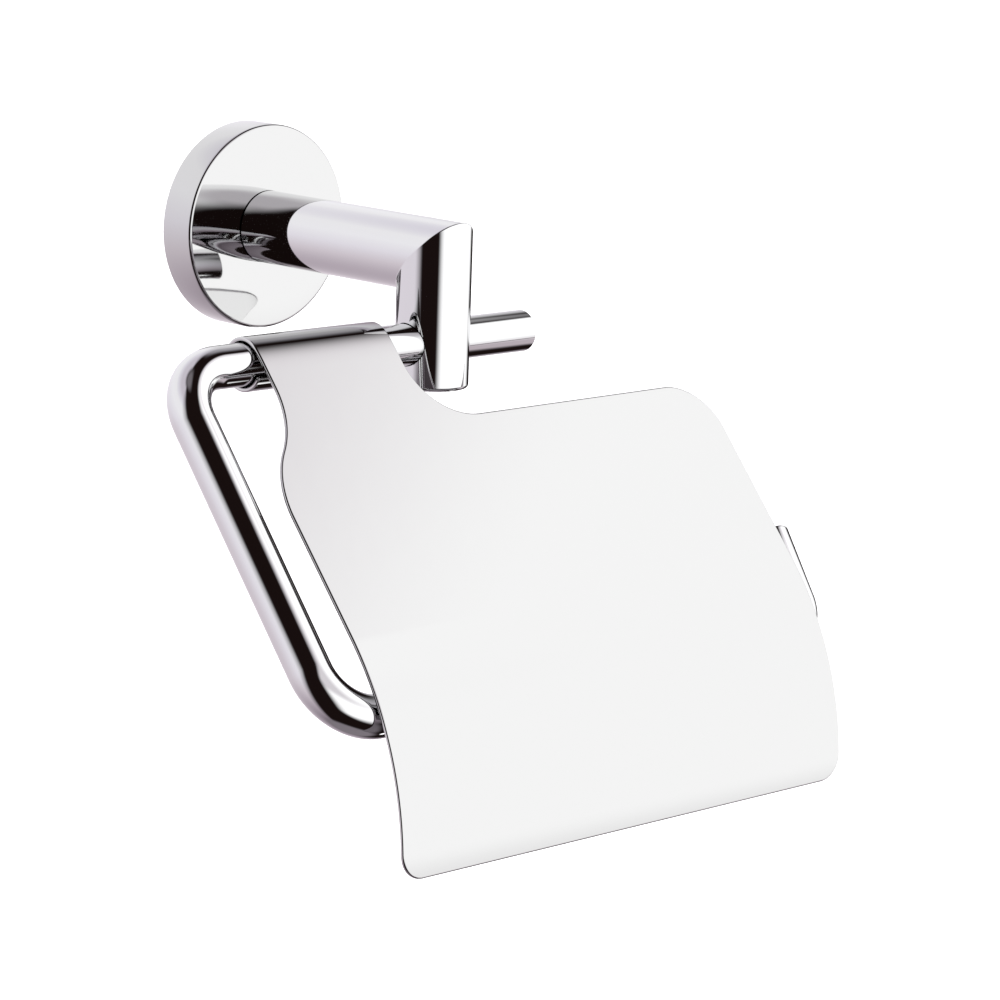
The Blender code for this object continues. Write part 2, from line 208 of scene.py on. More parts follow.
def zinc_plated_steel():
    """Zinc plate with clear passivation: a cloudy grey metal with faint blue and straw patches
    a few millimetres wide, and a grain of half a millimetre that blurs what it mirrors."""
    material, tree, shader = new_finish("zinc_plated_steel")
    where = add(tree, "ShaderNodeTexCoord").outputs["Object"]
    patches = add(tree, "ShaderNodeTexNoise", {"Vector": where, "Scale": 1 / (6 * MM), "Detail": 3})
    tint = add(tree, "ShaderNodeValToRGB", {0: patches})
    ramp = tint.color_ramp.elements
    ramp[0].position, ramp[0].color = 0.35, linear("#A4A7A9")
    ramp[1].position, ramp[1].color = 0.65, linear("#B5B3AA")
    ramp.new(0.5).color = linear("#AEB3B5")
    haze = add(tree, "ShaderNodeMapRange", {0: patches, "To Min": 0.26, "To Max": 0.42})
    grain = add(tree, "ShaderNodeTexNoise", {"Vector": where, "Scale": 1 / (0.5 * MM), "Detail": 2})
    bump = add(tree, "ShaderNodeBump", {"Height": grain, "Distance": 0.02 * MM, "Strength": 0.5})
    tree.links.new(tint.outputs[0], shader.inputs["Base Color"])
    tree.links.new(haze.outputs[0], shader.inputs["Roughness"])
    tree.links.new(bump.outputs[0], shader.inputs["Normal"])
    shader.inputs["Metallic"].default_value = 1
    return material


GROOVE_AT = -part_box("flange_cup")[0].y / 2
plate_inside = PLATE_RADIUS - PLATE_RIM
plate_profile = rounded([
    (plate_inside, PLATE_FLOOR, 0.6 * MM),
    (plate_inside, PLATE_HEIGHT, TURNED_EDGE),
    (PLATE_RADIUS, PLATE_HEIGHT, TURNED_EDGE),
    (PLATE_RADIUS, GROOVE_AT + GROOVE_DEPTH, 0.1 * MM),
    (PLATE_RADIUS - GROOVE_DEPTH, GROOVE_AT, BROKEN_EDGE),
    (PLATE_RADIUS, GROOVE_AT - GROOVE_DEPTH, 0.1 * MM),
    (PLATE_RADIUS, 0, 0.3 * MM),
    (0, 0, 0),
    (0, PLATE_FLOOR, 0),
])
wall_plate = skin("zinc_wall_plate", turned(plate_profile), zinc_plated_steel(), closed=True)
for side in (-1, 1):
    hole = [
        (0, -MM),
        (WALL_SCREW_HOLE, -MM),
        (WALL_SCREW_HOLE, PLATE_FLOOR - COUNTERSINK + WALL_SCREW_HOLE),
        (COUNTERSINK + MM, PLATE_FLOOR + MM),
        (0, PLATE_FLOOR + MM),
    ]
    cut_out(wall_plate, turned(hole, HOLE_STEPS), Matrix.Translation((side * WALL_SCREW_OFFSET, 0, 0)))
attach(wall_plate, "holder")
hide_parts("wall_plate")


# ---- Flange cup ------------------------------------------------------------------------------
# A shallow round cup, drawn from brass sheet, polished and chrome plated, that hides the plate.
# Its face stays flat and its edge is only broken, so it mirrors the arm like a looking glass.
CUP_LOW, CUP_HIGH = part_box("flange_cup")
CUP_RADIUS = CUP_HIGH.x
CUP_DEPTH = -CUP_LOW.y
CUP_WALL = 2 * MM
CUP_EDGE = 0.8 * MM
CUP_BORE = 3 * MM
CUP_STEPS = 384
GRUB_HOLE = 2.2 * MM
GRUB_HOLE_STEPS = 48
UPWARDS = Matrix.Rotation(math.radians(-90), 4, "X")


def chrome_plate(name, colour):
    """Decorative chromium over nickel: a cool mirror. Buffing leaves a haze in soft clouds of
    about 15 mm and a waviness of the same size that bends the reflections very slightly."""
    material, tree, shader = new_finish(name)
    where = add(tree, "ShaderNodeTexCoord").outputs["Object"]
    clouds = add(tree, "ShaderNodeTexNoise", {"Vector": where, "Scale": 1 / (15 * MM), "Detail": 2})
    haze = add(tree, "ShaderNodeMapRange", {0: clouds, "To Min": 0.015, "To Max": 0.05})
    wave = add(tree, "ShaderNodeBump", {"Height": clouds, "Distance": 0.05 * MM, "Strength": 0.3})
    tree.links.new(haze.outputs[0], shader.inputs["Roughness"])
    tree.links.new(wave.outputs[0], shader.inputs["Normal"])
    shader.inputs["Base Color"].default_value = linear(colour)
    shader.inputs["Metallic"].default_value = 1
    return material


def drill(radius, length, steps):
    """The rings of a plain round cutter that starts at the origin and runs out from the wall."""
    return turned([(0, 0), (radius, 0), (radius, length), (0, length)], steps)


SHEET_CHROME = chrome_plate("chrome_plated_drawn_sheet", "#C9C9C9")
cup_profile = rounded([
    (CUP_BORE, CUP_DEPTH, BROKEN_EDGE),
    (CUP_RADIUS, CUP_DEPTH, CUP_EDGE),
    (CUP_RADIUS, 0, BROKEN_EDGE),
    (CUP_RADIUS - CUP_WALL, 0, BROKEN_EDGE),
    (CUP_RADIUS - CUP_WALL, CUP_DEPTH - CUP_WALL, 0.5 * MM),
    (CUP_BORE, CUP_DEPTH - CUP_WALL, BROKEN_EDGE),
])
flange_cup = skin("chrome_flange_cup", turned(cup_profile, CUP_STEPS), SHEET_CHROME, closed=True)
below_cup = Matrix.Translation((0, -CUP_DEPTH / 2, -CUP_RADIUS - CUP_WALL))
cut_out(flange_cup, drill(GRUB_HOLE, 3 * CUP_WALL, GRUB_HOLE_STEPS), below_cup @ UPWARDS)
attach(flange_cup, "holder")
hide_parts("flange_cup")


# ---- Arm screw, its washer and the arm's insert ----------------------------------------------
# A stainless socket cap screw from inside the cup pulls it against the arm, over a washer. It
# runs into a threaded brass insert that is brazed into the end of the arm.
THREAD_PITCH = 0.8 * MM
SCREW_LOW, SCREW_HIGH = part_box("flange_screw")
SCREW_RADIUS = 2.7 * MM
SCREW_HEAD_RADIUS = SCREW_HIGH.x
SCREW_HEAD_HEIGHT = 3.1 * MM
SOCKET_DEPTH = 1.5 * MM
THREAD_DEPTH = 0.35 * MM
INSERT_THREAD_DEPTH = 0.2 * MM
KNURLS = 16
KNURL_DEPTH = 0.02
KNURL_ROOM = 0.1 * MM
MATHS = "ShaderNodeMath"
WASHER_LOW, WASHER_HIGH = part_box("flange_washer")
INSERT_LOW, INSERT_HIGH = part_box("arm_plug")
CLEARANCE = 0.3 * MM
BORE_STEPS = 96


def turned_metal(name, colour, roughness):
    """Bare metal off the lathe: faint rings from the tool, drawn 1.6 mm apart so that they show,
    which stretch the highlights, and a slight cloudiness from handling."""
    material, tree, shader = new_finish(name)
    where = add(tree, "ShaderNodeTexCoord").outputs["Object"]
    wave = {"Vector": where, "Scale": 1 / (5 * MM), "Distortion": 0.4}
    rings = add(tree, "ShaderNodeTexWave", wave, wave_type="RINGS", rings_direction="SPHERICAL")
    clouds = add(tree, "ShaderNodeTexNoise", {"Vector": where, "Scale": 1 / (3 * MM), "Detail": 3})
    span = {0: clouds, "To Min": roughness - 0.06, "To Max": roughness + 0.1}
    haze = add(tree, "ShaderNodeMapRange", span)
    bump = add(tree, "ShaderNodeBump", {"Height": rings, "Distance": 0.01 * MM, "Strength": 0.5})
    tree.links.new(haze.outputs[0], shader.inputs["Roughness"])
    tree.links.new(bump.outputs[0], shader.inputs["Normal"])
    shader.inputs["Base Color"].default_value = linear(colour)
    shader.inputs["Metallic"].default_value = 1
    return material


STAINLESS = turned_metal("turned_stainless_steel", "#B3B1AD", 0.22)
BRASS = turned_metal("turned_brass", "#C79A54", 0.24)


def threaded_screw_tree(finish):
    """Geometry nodes for a screw along +Z with its head, if any, on top of the origin and its
    tip at -Length. A bar of many rings is drawn in at the tip, grooved by a wave that runs round
    with the pitch, and widened and knurled at the head. A hexagon is cut into its top."""
    tree = bpy.data.node_groups.new("threaded_screw", "GeometryNodeTree")
    sizes = ["Radius", "Length", "Pitch", "Depth", "Point", "Head Radius", "Head Height", "Socket Depth"]
    tree.interface.new_socket("Geometry", in_out="INPUT", socket_type="NodeSocketGeometry")
    for size in sizes + ["Socket Radius"]:
        tree.interface.new_socket(size, in_out="INPUT", socket_type="NodeSocketFloat")
    tree.interface.new_socket("Geometry", in_out="OUTPUT", socket_type="NodeSocketGeometry")
    given = add(tree, "NodeGroupInput").outputs
    radius, length, head_height = (given[size] for size in ("Radius", "Length", "Head Height"))

    whole = add(tree, MATHS, {0: length, 1: head_height}, operation="ADD")
    bar = {"Vertices": HOLE_STEPS, "Side Segments": 160, "Radius": radius, "Depth": whole}
    bar = add(tree, "GeometryNodeMeshCylinder", bar, fill_type="TRIANGLE_FAN")
    middle = add(tree, MATHS, {0: head_height, 1: length}, operation="SUBTRACT")
    middle = add(tree, MATHS, {0: middle, 1: 0.5}, operation="MULTIPLY")
    middle = add(tree, "ShaderNodeCombineXYZ", {2: middle})
    bar = add(tree, "GeometryNodeTransform", {"Geometry": bar, "Translation": middle})
    axes = add(tree, "ShaderNodeSeparateXYZ", {0: add(tree, "GeometryNodeInputPosition")}).outputs
    turn = add(tree, MATHS, {0: axes[1], 1: axes[0]}, operation="ARCTAN2")

    phase = add(tree, MATHS, {0: axes[2], 1: math.tau}, operation="MULTIPLY")
    phase = add(tree, MATHS, {0: phase, 1: given["Pitch"]}, operation="DIVIDE")
    phase = add(tree, MATHS, {0: phase, 1: turn}, operation="SUBTRACT")
    groove = add(tree, MATHS, {0: phase}, operation="SINE")
    groove = add(tree, MATHS, {0: groove, 1: 0.5, 2: -0.5}, operation="MULTIPLY_ADD")
    groove = add(tree, MATHS, {0: groove, 1: given["Depth"]}, operation="MULTIPLY")
    groove = add(tree, MATHS, {0: groove, 1: radius}, operation="DIVIDE")
    above_tip = add(tree, MATHS, {0: axes[2], 1: length}, operation="ADD")
    into_point = add(tree, MATHS, {0: given["Point"], 1: above_tip}, operation="SUBTRACT")
    into_point = add(tree, MATHS, {0: into_point, 1: 0}, operation="MAXIMUM")
    narrowing = add(tree, MATHS, {0: into_point, 1: radius}, operation="DIVIDE")
    shank = add(tree, MATHS, {0: groove, 1: 1}, operation="ADD")
    shank = add(tree, MATHS, {0: shank, 1: narrowing}, operation="SUBTRACT")

    knurl = add(tree, MATHS, {0: turn, 1: KNURLS}, operation="MULTIPLY")
    knurl = add(tree, MATHS, {0: knurl}, operation="SINE")
    has_head = add(tree, MATHS, {0: head_height, 1: 0}, operation="GREATER_THAN")
    knurl = add(tree, MATHS, {0: knurl, 1: has_head}, operation="MULTIPLY")
    head = add(tree, MATHS, {0: given["Head Radius"], 1: radius}, operation="DIVIDE")
    head = add(tree, MATHS, {0: knurl, 1: KNURL_DEPTH, 2: head}, operation="MULTIPLY_ADD")
    on_shank = add(tree, MATHS, {0: axes[2], 1: -0.1 * MM}, operation="LESS_THAN")
    width = add(tree, "ShaderNodeMix", {0: on_shank, 2: head, 3: shank}, data_type="FLOAT")
    x = add(tree, MATHS, {0: axes[0], 1: width}, operation="MULTIPLY")
    y = add(tree, MATHS, {0: axes[1], 1: width}, operation="MULTIPLY")
    spread = add(tree, "ShaderNodeCombineXYZ", {0: x, 1: y, 2: axes[2]})
    shaped = add(tree, "GeometryNodeSetPosition", {"Geometry": bar, "Position": spread})

    key = add(tree, MATHS, {0: given["Socket Depth"], 1: 2}, operation="MULTIPLY")
    key = {"Vertices": 6, "Radius": given["Socket Radius"], "Depth": key}
    key = add(tree, "GeometryNodeMeshCylinder", key)
    head_top = add(tree, "ShaderNodeCombineXYZ", {2: head_height})
    key = add(tree, "GeometryNodeTransform", {"Geometry": key, "Translation": head_top})
    cut = {"Mesh 1": shaped, "Mesh 2": key}
    cut = add(tree, "GeometryNodeMeshBoolean", cut, operation="DIFFERENCE", solver="EXACT")
    real = add(tree, "GeometryNodeRealizeInstances", {"Geometry": cut})
    coated = add(tree, "GeometryNodeSetMaterial", {"Geometry": real, "Material": finish})
    add(tree, "NodeGroupOutput", {"Geometry": coated})
    return tree


def grow(piece, tree, values):
    """Runs a geometry nodes tree on a piece with its inputs set by name, and keeps the result."""
    modifier = piece.modifiers.new(tree.name, "NODES")
    modifier.node_group = tree
    for item in tree.interface.items_tree:
        if item.in_out == "INPUT" and item.name in values:
            modifier[item.identifier] = values[item.name]
    settle(piece)


SCREW_TREE = threaded_screw_tree(STAINLESS)


def screw(name, place, sizes):
    """A threaded stainless screw of these sizes, turned and moved to its place."""
    piece = bpy.data.objects.new(name, bpy.data.meshes.new(name))
    bpy.context.scene.collection.objects.link(piece)
    grow(piece, SCREW_TREE, sizes)
    piece.data.transform(place)
    shade(piece.data, 40)
    return piece


arm_screw_place = Matrix.Translation((0, SCREW_HIGH.y - SCREW_HEAD_HEIGHT, 0)) @ UPWARDS
arm_screw = screw("stainless_arm_screw", arm_screw_place, {
    "Radius": SCREW_RADIUS,
    "Length": SCREW_HIGH.y - SCREW_LOW.y - SCREW_HEAD_HEIGHT,
    "Pitch": THREAD_PITCH,
    "Depth": THREAD_DEPTH,
    "Point": 0.6 * MM,
    "Head Radius": SCREW_HEAD_RADIUS - KNURL_ROOM,
    "Head Height": SCREW_HEAD_HEIGHT,
    "Socket Depth": SOCKET_DEPTH,
    "Socket Radius": SCREW_RADIUS,
})
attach(arm_screw, "holder")
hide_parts("flange_screw")

washer_bore = SCREW_RADIUS + CLEARANCE
washer_profile = rounded([
    (washer_bore, -WASHER_LOW.y, 0.1 * MM),
    (WASHER_HIGH.x, -WASHER_LOW.y, 0.25 * MM),
    (WASHER_HIGH.x, -WASHER_HIGH.y, 0.1 * MM),
    (washer_bore, -WASHER_HIGH.y, BROKEN_EDGE),
])
washer = skin("stainless_washer", turned(washer_profile, BORE_STEPS), STAINLESS, closed=True)
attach(washer, "holder")
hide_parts("flange_washer")

# The insert's bore shows its thread as ridges one pitch apart.
insert_end, insert_start = -INSERT_LOW.y, -INSERT_HIGH.y
insert_profile = rounded([
    (washer_bore, insert_end, BROKEN_EDGE),
    (INSERT_HIGH.x, insert_end, TURNED_EDGE),
    (INSERT_HIGH.x, insert_start, TURNED_EDGE),
    (washer_bore, insert_start, BROKEN_EDGE),
])
ridges = int((insert_end - insert_start - 2 * THREAD_PITCH) / THREAD_PITCH)
for i in range(ridges):
    crest = insert_start + THREAD_PITCH * (i + 1)
    root = Vector((washer_bore + INSERT_THREAD_DEPTH, crest + THREAD_PITCH / 2))
    insert_profile += [Vector((washer_bore, crest)), root]
insert = skin("brass_arm_insert", turned(insert_profile, BORE_STEPS), BRASS, closed=True)
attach(insert, "holder")
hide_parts("arm_plug")


# ---- Arm and post ----------------------------------------------------------------------------
# Two pieces of 17 mm brass tube, mitred at 45 degrees, brazed, then polished and plated as one.
# The post is bored across for the roll rod, and its bottom rim is rounded over.
ARM_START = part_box("arm_tube")[1].y
POST_LOW, POST_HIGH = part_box("post_tube")
HINGE = Vector(frame["joints"][0]["pos_m"])
TUBE_RADIUS = POST_HIGH.x
TUBE_WALL = 1.5 * MM
MITRE_RADIUS = 0.3 * MM
POST_RIM_RADIUS = 0.9 * MM
ROD_BORE = 4.95 * MM
RIGHT_ANGLE = math.radians(90)
ROUND_STEPS = 6
SIDEWAYS = Matrix.Rotation(RIGHT_ANGLE, 4, "Z")
CHROME = chrome_plate("chrome_plated_polished_brass", "#D9D9DA")


def elbow_rings(radius, first_y, last_z, rim, steps=TURN_STEPS):
    """Rings of one wall of the elbow, from the flange, round the mitre and down the post. The
    mitre is a plane at 45 degrees, so a point of height z on it lies z out from the post's axis."""
    angles = [2 * math.pi * i / steps for i in range(steps)]
    rings = [[(radius * math.cos(a), first_y, radius * math.sin(a)) for a in angles]]
    for step in range(ROUND_STEPS + 1):
        turn = RIGHT_ANGLE * step / ROUND_STEPS
        back = MITRE_RADIUS * (1 - math.sin(turn))
        down = MITRE_RADIUS * (1 - math.cos(turn))
        ring = []
        for a in angles:
            z = radius * math.sin(a)
            ring.append((radius * math.cos(a), HINGE.y - z + back, z - down))
        rings.append(ring)
    for step in range(ROUND_STEPS + 1 if rim else 1):
        turn = RIGHT_ANGLE * step / ROUND_STEPS
        r = radius - rim * (1 - math.cos(turn))
        z = last_z + rim * (1 - math.sin(turn))
        rings.append([(r * math.cos(a), HINGE.y - r * math.sin(a), z) for a in angles])
    return rings


def true_round(piece, centre, axis, radius):
    """Gives the faces that lie on a cylinder its exact normals, where a bore has cut across them."""
    mesh = piece.data
    normals = [Vector(corner.vector) for corner in mesh.corner_normals]
    for face in mesh.polygons:
        spokes = [mesh.vertices[v].co - centre for v in face.vertices]
        spokes = [s - axis * s.dot(axis) for s in spokes]
        if all(abs(s.length - radius) < 0.01 * MM for s in spokes):
            for corner, spoke in zip(face.loop_indices, spokes):
                normals[corner] = spoke.normalized()
    mesh.normals_split_custom_set(normals)


outside = elbow_rings(TUBE_RADIUS, ARM_START, POST_LOW.z, POST_RIM_RADIUS)
inside = elbow_rings(TUBE_RADIUS - TUBE_WALL, ARM_START, POST_LOW.z, 0)
elbow = skin("brazed_arm_and_post", outside + inside[::-1], CHROME, closed=True)
across_post = Matrix.Translation((-2 * TUBE_RADIUS, HINGE.y, HINGE.z)) @ SIDEWAYS
cut_out(elbow, drill(ROD_BORE, 4 * TUBE_RADIUS, BORE_STEPS), across_post)
true_round(elbow, HINGE, Vector((0, 0, 1)), TUBE_RADIUS)
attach(elbow, "holder")
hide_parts("arm_tube", "post_tube")


# ---- Roll rod --------------------------------------------------------------------------------
# One length of 9.6 mm brass rod, bent cold at three corners in one leaning plane and plated:
# stub, top bar, side bar, lower bar and the upturned tip that keeps the roll on.
ROD_RADIUS = 4.8 * MM
ROD_LEAN = math.radians(39.3)
STUB_END_X = 28.6 * MM
LEFT_BAR_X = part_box("roll_rod")[0].x + ROD_RADIUS
FRAME_HEIGHT = 85.6 * MM
BEND_RADIUS = 12.5 * MM
TIP_X = 71.3 * MM
TIP_BEND_RADIUS = 8 * MM
TIP_SPLAY = math.radians(8)
TIP_LENGTH = 18 * MM
ROD_END_EDGE = 0.5 * MM


def bent_rod_tree(finish):
    """Geometry nodes that fillet a line of straight lengths at its corners and sweep a round bar
    along it. Each corner's own bend radius is the line's bend_radius attribute."""
    tree = bpy.data.node_groups.new("bent_rod", "GeometryNodeTree")
    face = tree.interface
    face.new_socket("Geometry", in_out="INPUT", socket_type="NodeSocketGeometry")
    face.new_socket("Rod Radius", in_out="INPUT", socket_type="NodeSocketFloat")
    face.new_socket("Bend Steps", in_out="INPUT", socket_type="NodeSocketInt")
    face.new_socket("Sides", in_out="INPUT", socket_type="NodeSocketInt")
    face.new_socket("Geometry", in_out="OUTPUT", socket_type="NodeSocketGeometry")
    given = add(tree, "NodeGroupInput").outputs
    line = add(tree, "GeometryNodeMeshToCurve", {"Mesh": given["Geometry"]})
    bend = add(tree, "GeometryNodeInputNamedAttribute", {"Name": "bend_radius"}, data_type="FLOAT")
    corners = {"Curve": line, "Radius": bend, "Count": given["Bend Steps"]}
    route = add(tree, "GeometryNodeFilletCurve", corners, mode="POLY")
    circle = {"Resolution": given["Sides"], "Radius": given["Rod Radius"]}
    section = add(tree, "GeometryNodeCurvePrimitiveCircle", circle)
    sweep = {"Curve": route, "Profile Curve": section, "Fill Caps": True}
    bar = add(tree, "GeometryNodeCurveToMesh", sweep)
    real = add(tree, "GeometryNodeRealizeInstances", {"Geometry": bar})
    coated = add(tree, "GeometryNodeSetMaterial", {"Geometry": real, "Material": finish})
    add(tree, "NodeGroupOutput", {"Geometry": coated})
    return tree


# corners as (x, distance down the leaning plane, bend radius)
tip_foot = FRAME_HEIGHT - TIP_BEND_RADIUS * (1 - math.sin(TIP_SPLAY))
tip_end_x = TIP_X - TIP_BEND_RADIUS * (1 - math.cos(TIP_SPLAY)) + TIP_LENGTH * math.sin(TIP_SPLAY)
tip_end_drop = tip_foot - TIP_LENGTH * math.cos(TIP_SPLAY)
tip_corner_x = tip_end_x - (FRAME_HEIGHT - tip_end_drop) * math.tan(TIP_SPLAY)
rod_corners = [
    (STUB_END_X, 0, 0),
    (LEFT_BAR_X, 0, BEND_RADIUS),
    (LEFT_BAR_X, FRAME_HEIGHT, BEND_RADIUS),
    (tip_corner_x, FRAME_HEIGHT, TIP_BEND_RADIUS),
    (tip_end_x, tip_end_drop, 0),
]
rod_line = bpy.data.meshes.new("bent_roll_rod")
lean = Vector((0, -math.sin(ROD_LEAN), -math.cos(ROD_LEAN)))
rod_points = [HINGE + Vector((x, 0, 0)) + lean * drop for x, drop, _ in rod_corners]
rod_line.from_pydata(rod_points, [(i, i + 1) for i in range(len(rod_points) - 1)], [])
bends = rod_line.attributes.new("bend_radius", "FLOAT", "POINT")
bends.data.foreach_set("value", [radius for _, _, radius in rod_corners])
rod = bpy.data.objects.new("bent_roll_rod", rod_line)
bpy.context.scene.collection.objects.link(rod)
grow(rod, bent_rod_tree(CHROME), {"Rod Radius": ROD_RADIUS, "Bend Steps": 32, "Sides": BORE_STEPS})
ends = rod.modifiers.new("Broken ends", "BEVEL")
ends.width = ROD_END_EDGE
ends.segments = 4
ends.limit_method = "ANGLE"
ends.angle_limit = math.radians(60)
settle(rod)
shade(rod.data, 40)
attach(rod, "holder")
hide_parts("roll_rod")


# ---- Grub screws -----------------------------------------------------------------------------
# Two headless stainless screws with cone points and hexagon sockets, both driven from below: an
# M4 that locks the cup in the plate's groove, and an M5 that presses up on the roll rod.
for name, node, thread in (
    ("stainless_cup_grub_screw", "flange_grub_screw", 0.7 * MM),
    ("stainless_rod_grub_screw", "rod_grub_screw", THREAD_PITCH),
):
    low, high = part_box(node)
    radius = high.x
    middle = (low + high) / 2
    upside_down = Matrix.Rotation(math.radians(180), 4, "X")
    grub = screw(name, Matrix.Translation((0, middle.y, low.z)) @ upside_down, {
        "Radius": radius,
        "Length": high.z - low.z,
        "Pitch": thread,
        "Depth": 0.25 * MM,
        "Point": 1 * MM,
        "Head Radius": radius,
        "Head Height": 0.0,
        "Socket Depth": SOCKET_DEPTH,
        "Socket Radius": radius / 2,
    })
    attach(grub, "holder")
    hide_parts(node)


# ---- Post core and end cap -------------------------------------------------------------------
# A brass block turned to slide into the post, cross-bored for the rod and tapped from below for
# its grub screw. A grey moulded disc closes the post flush with its rim.
CORE_LOW, CORE_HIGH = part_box("post_core")
CAP_LOW, CAP_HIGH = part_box("post_end_cap")
ROD_GRUB_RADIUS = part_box("rod_grub_screw")[1].x


def moulded_plastic():
    """Dark grey ABS from a spark-eroded mould: a fine even grain, drawn at 0.3 mm, that makes the
    sheen soft, and no pattern otherwise."""
    material, tree, shader = new_finish("moulded_grey_abs")
    where = add(tree, "ShaderNodeTexCoord").outputs["Object"]
    grain = add(tree, "ShaderNodeTexVoronoi", {"Vector": where, "Scale": 1 / (0.3 * MM)})
    tone = {0: grain, 6: linear("#6A6A6C"), 7: linear("#74747A")}
    tone = add(tree, "ShaderNodeMix", tone, data_type="RGBA")
    bump = add(tree, "ShaderNodeBump", {"Height": grain, "Distance": 0.02 * MM, "Strength": 0.6})
    tree.links.new(tone.outputs[2], shader.inputs["Base Color"])
    tree.links.new(bump.outputs[0], shader.inputs["Normal"])
    shader.inputs["Roughness"].default_value = 0.5
    return material


def upright(profile, steps):
    """Rings of a profile of (radius, height) points, turned about the post's axis."""
    stand = Matrix.Translation((0, HINGE.y, 0)) @ UPWARDS
    return [[stand @ Vector(p) for p in ring] for ring in turned(profile, steps)]


core_profile = rounded([
    (0, CORE_LOW.z, 0),
    (CORE_HIGH.x, CORE_LOW.z, TURNED_EDGE),
    (CORE_HIGH.x, CORE_HIGH.z, TURNED_EDGE),
    (0, CORE_HIGH.z, 0),
])
core = skin("brass_post_core", upright(core_profile, TURN_STEPS), BRASS)
cut_out(core, drill(ROD_RADIUS + CLEARANCE, 4 * TUBE_RADIUS, BORE_STEPS), across_post)
tap = ROD_GRUB_RADIUS + CLEARANCE
grub_hole = [(0, CORE_LOW.z - MM), (tap, CORE_LOW.z - MM), (tap, HINGE.z), (0, HINGE.z)]
cut_out(core, upright(grub_hole, HOLE_STEPS))
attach(core, "holder")
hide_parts("post_core")

cap_profile = rounded([
    (0, CAP_LOW.z, 0),
    (CAP_HIGH.x, CAP_LOW.z, 0.25 * MM),
    (CAP_HIGH.x, CAP_HIGH.z, 0.1 * MM),
    (0, CAP_HIGH.z, 0),
])
cap = skin("moulded_post_end_cap", upright(cap_profile, TURN_STEPS), moulded_plastic())
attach(cap, "holder")
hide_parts("post_end_cap")


# ---- Cover -----------------------------------------------------------------------------------
# A flap blanked from 1 mm sheet, its edges deburred round, its lower half bent to a wide curve
# and the tab at its top rolled about the top bar, then plated. It turns on the bar.
SHEET = 1 * MM
EDGE_ROUND = 0.45 * MM
COVER_WIDTH = 138 * MM
COVER_SLOPE = math.radians(49.6)
COVER_FLAT = 71 * MM
COVER_BEND_RADIUS = 72.8 * MM
COVER_LENGTH = 124.1 * MM
ROLL_SPRING = math.radians(6)
ROLL_RUN_OUT = 7 * MM
CURL_RADIUS = ROD_RADIUS + 0.3 * MM + SHEET / 2
CURL_LENGTH = CURL_RADIUS * math.radians(292)
TAB_LEFT_X = -57 * MM
TAB_RIGHT_X = -18 * MM
SHOULDER_DROP = 23.1 * MM
SHOULDER_FILLET = 14.7 * MM
TOP_CORNER_RADIUS = 12.5 * MM
BOTTOM_CORNER_RADIUS = 6 * MM
FLARE_START = 10 * MM
FLARE_ANGLE = math.radians(42)
TAB_CORNER_RADIUS = 0.8 * MM
COLUMN = 4 * MM
CURL_ROWS = 96
RUN_OUT_ROWS = 12
BEND_ROWS = 80
CORNER_STEPS = 24
RIM_STEPS = 4


def on_sheet(x, s, height):
    """The place of a point of the flat blank once it is rolled and bent, and the sheet's normal.
    s counts down the sheet from the top of the curl, height from the middle of the sheet. The
    roll springs back a little, so the sheet eases from it into the flat."""
    spring = min(max(1 - s / ROLL_RUN_OUT, 0), 1)
    turn = max(s - COVER_FLAT, 0) / COVER_BEND_RADIUS + min(s, 0) / CURL_RADIUS
    slope = COVER_SLOPE + turn - ROLL_SPRING * spring ** 2
    normal = Vector((0, -math.sin(slope), math.cos(slope)))
    start = HINGE + Vector((x, 0, 0))
    if s <= 0:
        return start + normal * (CURL_RADIUS + height), normal
    crest = Vector((0, -math.sin(COVER_SLOPE), math.cos(COVER_SLOPE)))
    downhill = Vector((0, -math.cos(COVER_SLOPE), -math.sin(COVER_SLOPE)))
    lift = ROLL_SPRING * ROLL_RUN_OUT / 3 * (1 - spring ** 3)
    start += downhill * (min(s, COVER_FLAT) - math.sin(ROLL_SPRING) * CURL_RADIUS)
    start += crest * (math.cos(ROLL_SPRING) * CURL_RADIUS + lift)
    if s <= COVER_FLAT:
        return start + normal * height, normal
    return start - crest * COVER_BEND_RADIUS + normal * (COVER_BEND_RADIUS + height), normal


def cover_blank():
    """The outline of the flat blank as corners of (x, s, radius)."""
    half = COVER_WIDTH / 2
    flare_radius = (TAB_LEFT_X + half) / 2 / (1 - math.cos(FLARE_ANGLE))
    reach = flare_radius * math.tan(FLARE_ANGLE / 2)
    flare_end = FLARE_START + 2 * flare_radius * math.sin(FLARE_ANGLE)
    return [
        (TAB_LEFT_X, -CURL_LENGTH, TAB_CORNER_RADIUS),
        (TAB_LEFT_X, FLARE_START + reach, flare_radius),
        (-half, flare_end - reach, flare_radius),
        (-half, COVER_LENGTH, BOTTOM_CORNER_RADIUS),
        (half, COVER_LENGTH, BOTTOM_CORNER_RADIUS),
        (half, SHOULDER_DROP, TOP_CORNER_RADIUS),
        (TAB_RIGHT_X, SHOULDER_DROP, SHOULDER_FILLET),
        (TAB_RIGHT_X, -CURL_LENGTH, TAB_CORNER_RADIUS),
    ]


def cover_rows():
    """Where the blank is divided: closely where it is rolled or bent, and loosely where flat."""
    curl = [-CURL_LENGTH * i / CURL_ROWS for i in range(CURL_ROWS)]
    curl += [ROLL_RUN_OUT * (i + 1) / RUN_OUT_ROWS for i in range(RUN_OUT_ROWS)]
    flat = [COLUMN * i for i in range(2, int(COVER_FLAT / COLUMN))]
    bend = [COVER_FLAT + (COVER_LENGTH - COVER_FLAT) * i / BEND_ROWS for i in range(BEND_ROWS)]
    return curl + flat + bend


